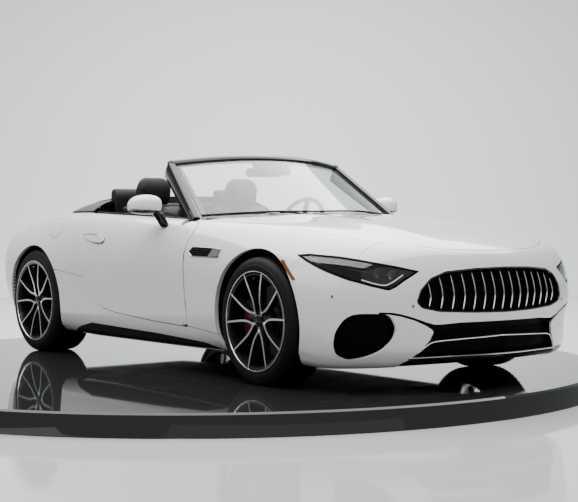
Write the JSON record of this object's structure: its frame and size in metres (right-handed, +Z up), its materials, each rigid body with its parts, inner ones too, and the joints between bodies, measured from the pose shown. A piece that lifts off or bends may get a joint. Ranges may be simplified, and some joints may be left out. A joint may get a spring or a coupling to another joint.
{
  "type": "roadster convertible car",
  "caption": "Two-seat open roadster with its folding top stowed, opening doors, bonnet and boot lid, steered front wheels and free-turning rear wheels.",
  "frame": {"origin": "on the ground under the middle of the bounding box", "axes": "the front faces -Y, +X is the left-hand side, +Z is up"},
  "size_m": [2.149, 4.705, 1.3504],
  "materials": {
    "paint": "gloss clear coat",
    "black_trim": "gloss",
    "matt_trim": "matt",
    "chrome": "polished",
    "rubber": "matt",
    "alloy": "machined face, dark pockets",
    "leather": "soft grain",
    "cloth": "woven top cloth",
    "glass": "clear",
    "lamp": "dark lens",
    "steel": "raw"
  },
  "bodies": {
    "car": {"boot_tub": "matt_trim", "centre_console": "leather", "cowl": "black_trim", "dashboard": "leather", "door_hinges": "steel", "engine": "steel", "firewall": "steel", "front_bumper": "paint", "front_fender_left": "paint", "front_fender_right": "paint", "front_suspension": "steel", "grille": "chrome", "headlamps": "lamp", "lid_hinges": "steel", "lower_grille": "matt_trim", "rear_bulkhead": "steel", "rear_bumper": "paint", "rear_diffuser": "black_trim", "rear_quarter_left": "paint", "rear_quarter_right": "paint", "rear_suspension": "steel", "seat_back_left": "leather", "seat_back_right": "leather", "seat_bases": "matt_trim", "seat_cushion_left": "leather", "seat_cushion_right": "leather", "side_skirts": "black_trim", "sill_left": "paint", "sill_right": "paint", "tail_lamps": "lamp", "tonneau_cover": "cloth", "underbody": "steel", "wheel_liners": "matt_trim", "windscreen_frame": "black_trim", "windscreen_glass": "glass"},
    "bonnet": {"bonnet": "paint"},
    "boot_lid": {"boot_lid": "paint"},
    "steering_wheel": {"steering_wheel": "leather"},
    "door_left": {"door_left": "paint", "door_trim_left": "leather", "door_mirror_left": "paint"},
    "knuckle_left": {"front_knuckle_left": "steel"},
    "front_wheel_left": {"wheel_front_left": "alloy", "tyre_front_left": "rubber"},
    "rear_wheel_left": {"wheel_rear_left": "alloy", "tyre_rear_left": "rubber"},
    "door_right": {"door_right": "paint", "door_trim_right": "leather", "door_mirror_right": "paint"},
    "knuckle_right": {"front_knuckle_right": "steel"},
    "front_wheel_right": {"wheel_front_right": "alloy", "tyre_front_right": "rubber"},
    "rear_wheel_right": {"wheel_rear_right": "alloy", "tyre_rear_right": "rubber"}
  },
  "joints": [
    {"name": "door_left_hinge", "type": "hinge", "parent": "car", "child": "door_left", "pos_m": [0.915, -0.56, 0.5], "axis": [0, 0, -1], "range_deg": [0, 65]},
    {"name": "door_right_hinge", "type": "hinge", "parent": "car", "child": "door_right", "pos_m": [-0.915, -0.56, 0.5], "axis": [0, 0, 1], "range_deg": [0, 65]},
    {"name": "bonnet_hinge", "type": "hinge", "parent": "car", "child": "bonnet", "pos_m": [0, -0.6, 0.93], "axis": [-1, 0, 0], "range_deg": [0, 50]},
    {"name": "boot_hinge", "type": "hinge", "parent": "car", "child": "boot_lid", "pos_m": [0, 1.405, 1], "axis": [1, 0, 0], "range_deg": [0, 80]},
    {"name": "steer_left", "type": "hinge", "parent": "car", "child": "knuckle_left", "pos_m": [0.76, -1.3375, 0.36], "axis": [0, 0, 1], "range_deg": [-35, 35]},
    {"name": "steer_right", "type": "hinge", "parent": "car", "child": "knuckle_right", "pos_m": [-0.76, -1.3375, 0.36], "axis": [0, 0, 1], "range_deg": [-35, 35]},
    {"name": "steering_wheel_turn", "type": "hinge", "parent": "car", "child": "steering_wheel", "pos_m": [0.37, -0.06, 0.905], "axis": [0, 0.9272, 0.3746], "range_deg": [-490, 490]},
    {"name": "front_wheel_left_spin", "type": "hinge", "parent": "knuckle_left", "child": "front_wheel_left", "pos_m": [0.806, -1.3375, 0.36], "axis": [1, 0, 0], "continuous": true},
    {"name": "front_wheel_right_spin", "type": "hinge", "parent": "knuckle_right", "child": "front_wheel_right", "pos_m": [-0.806, -1.3375, 0.36], "axis": [1, 0, 0], "continuous": true},
    {"name": "rear_wheel_left_spin", "type": "hinge", "parent": "car", "child": "rear_wheel_left", "pos_m": [0.794, 1.3625, 0.36], "axis": [1, 0, 0], "continuous": true},
    {"name": "rear_wheel_right_spin", "type": "hinge", "parent": "car", "child": "rear_wheel_right", "pos_m": [-0.794, 1.3625, 0.36], "axis": [1, 0, 0], "continuous": true}
  ],
  "couplings": [
    {"joint": "steer_right", "follows": "steer_left", "ratio": 1},
    {"joint": "steering_wheel_turn", "follows": "steer_left", "ratio": -13}
  ]
}
